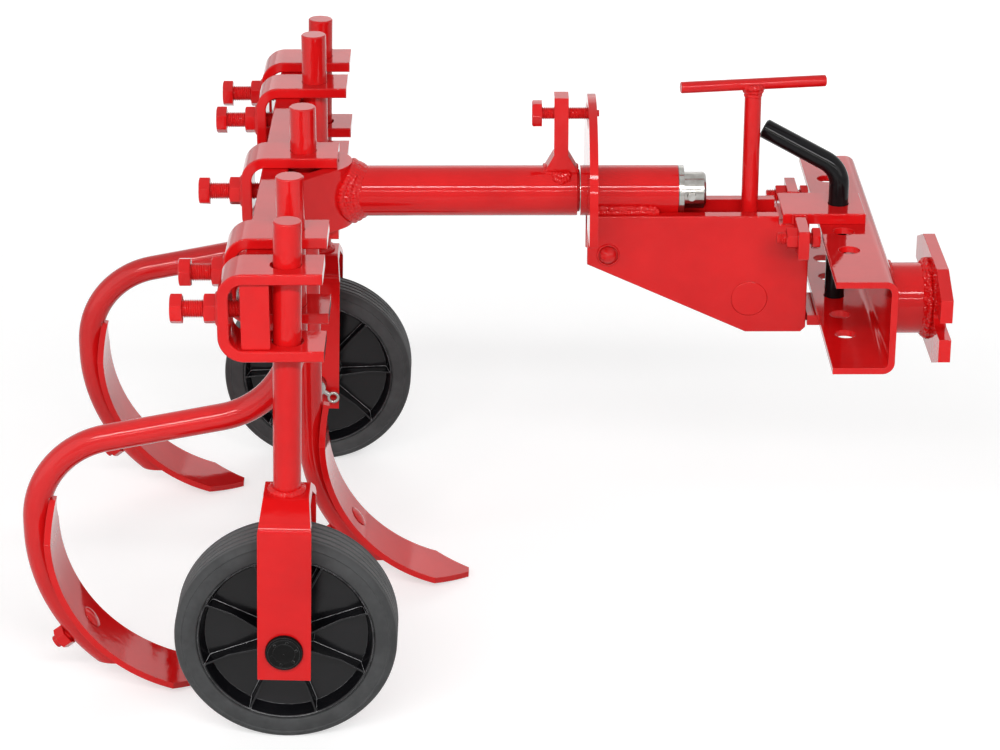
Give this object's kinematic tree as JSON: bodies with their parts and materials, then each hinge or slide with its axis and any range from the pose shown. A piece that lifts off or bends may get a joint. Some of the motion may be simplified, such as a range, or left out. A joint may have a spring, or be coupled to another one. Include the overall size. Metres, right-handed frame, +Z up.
{
  "type": "tiller ripper",
  "caption": "Red tiller ripper with clamped curved tines and depth wheels on a toolbar, a swivelling boom, a screw-adjusted headstock and a pinned hitch",
  "frame": {"origin": "middle of the hitch flange's front face", "axes": "+X forward out of the hitch flange, +Y to the left across the implement, +Z up"},
  "size_m": [0.8477, 0.71, 0.5209],
  "materials": {
    "red_paint": "gloss",
    "black_paint": "gloss",
    "black_plastic": "gloss",
    "tyre_rubber": "matte",
    "bare_steel": "satin"
  },
  "bodies": {
    "hitch": {"hitch_flange": "red_paint", "hitch_stub": "red_paint", "hitch_channel": "red_paint"},
    "tongue": {"tongue_top_plate": "red_paint", "tongue_lower_plate": "red_paint", "tongue_arm": "red_paint", "tongue_ears": "red_paint", "ear_lock_nuts": "red_paint"},
    "pin": {"hitch_pin": "black_paint"},
    "right_ear_stop": {"right_ear_bolt": "red_paint"},
    "left_ear_stop": {"left_ear_bolt": "red_paint"},
    "headstock": {"right_side_plate": "red_paint", "left_side_plate": "red_paint", "swivel_sleeve": "red_paint", "quadrant_plate": "red_paint", "pivot_bolt": "red_paint", "barrel_nut": "red_paint"},
    "screw_thrust": {"thrust_washers": "bare_steel"},
    "screw": {"screw_spindle": "red_paint", "spindle_collar": "red_paint", "screw_crossbar": "red_paint"},
    "boom": {"boom_tube": "red_paint", "swivel_shaft": "bare_steel", "boom_lug": "red_paint", "boom_bracket": "red_paint", "toolbar": "red_paint", "thrust_ring": "bare_steel", "shaft_pin": "bare_steel"},
    "swivel_lock": {"lock_bolt": "red_paint"},
    "right_leg_holder": {"right_leg_clamp": "red_paint"},
    "right_leg_lock": {"right_leg_set_bolt": "red_paint"},
    "right_leg": {"right_leg_shank": "red_paint", "right_leg_fork": "red_paint", "right_axle": "bare_steel", "right_axle_cap": "black_plastic"},
    "right_wheel": {"right_tyre": "tyre_rubber", "right_wheel_centre": "black_plastic"},
    "left_leg_holder": {"left_leg_clamp": "red_paint"},
    "left_leg_lock": {"left_leg_set_bolt": "red_paint"},
    "left_leg": {"left_leg_shank": "red_paint", "left_leg_fork": "red_paint", "left_axle": "bare_steel", "left_axle_cap": "black_plastic"},
    "left_wheel": {"left_tyre": "tyre_rubber", "left_wheel_centre": "black_plastic"},
    "right_tine_holder": {"right_tine_clamp": "red_paint"},
    "right_tine_lock": {"right_tine_set_bolt": "red_paint"},
    "right_tine": {"right_tine_rod": "red_paint", "right_point": "red_paint", "right_point_bolt": "red_paint"},
    "middle_tine_holder": {"middle_tine_clamp": "red_paint"},
    "middle_tine_lock": {"middle_tine_set_bolt": "red_paint"},
    "middle_tine": {"middle_tine_rod": "red_paint", "middle_point": "red_paint", "middle_point_bolt": "red_paint"},
    "left_tine_holder": {"left_tine_clamp": "red_paint"},
    "left_tine_lock": {"left_tine_set_bolt": "red_paint"},
    "left_tine": {"left_tine_rod": "red_paint", "left_point": "red_paint", "left_point_bolt": "red_paint"}
  },
  "joints": [
    {"name": "tongue_yaw", "type": "hinge", "parent": "hitch", "child": "tongue", "pos_m": [-0.085, 0.106, 0], "axis": [0, 0, 1], "range_deg": [-1.87, 1.87]},
    {"name": "pin_turn", "type": "hinge", "parent": "tongue", "child": "pin", "pos_m": [-0.085, 0.106, 0], "axis": [0, 0, 1], "continuous": true},
    {"name": "right_ear_stop_slide", "type": "slide", "parent": "tongue", "child": "right_ear_stop", "axis": [-1, 0, 0], "range_m": [0, 0.0035]},
    {"name": "left_ear_stop_slide", "type": "slide", "parent": "tongue", "child": "left_ear_stop", "axis": [-1, 0, 0], "range_m": [0, 0.0035]},
    {"name": "headstock_pitch", "type": "hinge", "parent": "tongue", "child": "headstock", "pos_m": [-0.3056, 0.106, 0.0143], "axis": [0, 1, 0], "range_deg": [0, 6.75]},
    {"name": "screw_rise", "type": "slide", "parent": "headstock", "child": "screw_thrust", "axis": [0, 0, 1], "range_m": [0, 0.016]},
    {"name": "screw_turn", "type": "hinge", "parent": "screw_thrust", "child": "screw", "pos_m": [-0.1699, 0.106, 0.0143], "axis": [0, 0, 1], "range_deg": [0, 720]},
    {"name": "boom_roll", "type": "hinge", "parent": "headstock", "child": "boom", "pos_m": [-0.332, 0.106, 0.06878], "axis": [1, 0, 0], "range_deg": [-12, 12]},
    {"name": "swivel_lock_slide", "type": "slide", "parent": "boom", "child": "swivel_lock", "axis": [-1, 0, 0], "range_m": [0, 0.03]},
    {"name": "right_leg_place", "type": "slide", "parent": "boom", "child": "right_leg_holder", "axis": [0, 1, 0], "range_m": [-0.008, 0.018]},
    {"name": "right_leg_lock_slide", "type": "slide", "parent": "right_leg_holder", "child": "right_leg_lock", "axis": [-1, 0, 0], "range_m": [0, 0.012]},
    {"name": "right_leg_height", "type": "slide", "parent": "right_leg_holder", "child": "right_leg", "axis": [0.0262, 0, 0.9997], "range_m": [-0.035, 0.1]},
    {"name": "right_wheel_spin", "type": "hinge", "parent": "right_leg", "child": "right_wheel", "pos_m": [-0.60203, -0.198, -0.24112], "axis": [0, 1, 0], "continuous": true},
    {"name": "left_leg_place", "type": "slide", "parent": "boom", "child": "left_leg_holder", "axis": [0, -1, 0], "range_m": [-0.008, 0.018]},
    {"name": "left_leg_lock_slide", "type": "slide", "parent": "left_leg_holder", "child": "left_leg_lock", "axis": [-1, 0, 0], "range_m": [0, 0.012]},
    {"name": "left_leg_height", "type": "slide", "parent": "left_leg_holder", "child": "left_leg", "axis": [0.0262, 0, 0.9997], "range_m": [-0.035, 0.1]},
    {"name": "left_wheel_spin", "type": "hinge", "parent": "left_leg", "child": "left_wheel", "pos_m": [-0.60203, 0.41, -0.24112], "axis": [0, 1, 0], "continuous": true},
    {"name": "right_tine_place", "type": "slide", "parent": "boom", "child": "right_tine_holder", "axis": [0, 1, 0], "range_m": [-0.018, 0.09]},
    {"name": "right_tine_lock_slide", "type": "slide", "parent": "right_tine_holder", "child": "right_tine_lock", "axis": [-1, 0, 0], "range_m": [0, 0.012]},
    {"name": "right_tine_height", "type": "slide", "parent": "right_tine_holder", "child": "right_tine", "axis": [0, 0, 1], "range_m": [-0.04, 0.015]},
    {"name": "middle_tine_place", "type": "slide", "parent": "boom", "child": "middle_tine_holder", "axis": [0, 1, 0], "range_m": [-0.015, 0.015]},
    {"name": "middle_tine_lock_slide", "type": "slide", "parent": "middle_tine_holder", "child": "middle_tine_lock", "axis": [-1, 0, 0], "range_m": [0, 0.012]},
    {"name": "middle_tine_height", "type": "slide", "parent": "middle_tine_holder", "child": "middle_tine", "axis": [0, 0, 1], "range_m": [-0.04, 0.1]},
    {"name": "left_tine_place", "type": "slide", "parent": "boom", "child": "left_tine_holder", "axis": [0, -1, 0], "range_m": [-0.018, 0.09]},
    {"name": "left_tine_lock_slide", "type": "slide", "parent": "left_tine_holder", "child": "left_tine_lock", "axis": [-1, 0, 0], "range_m": [0, 0.012]},
    {"name": "left_tine_height", "type": "slide", "parent": "left_tine_holder", "child": "left_tine", "axis": [0, 0, 1], "range_m": [-0.04, 0.015]}
  ],
  "couplings": [
    {"joint": "screw_rise", "follows": "headstock_pitch", "m_per_rad": 0.1357},
    {"joint": "screw_turn", "follows": "headstock_pitch", "ratio": 106.58}
  ]
}
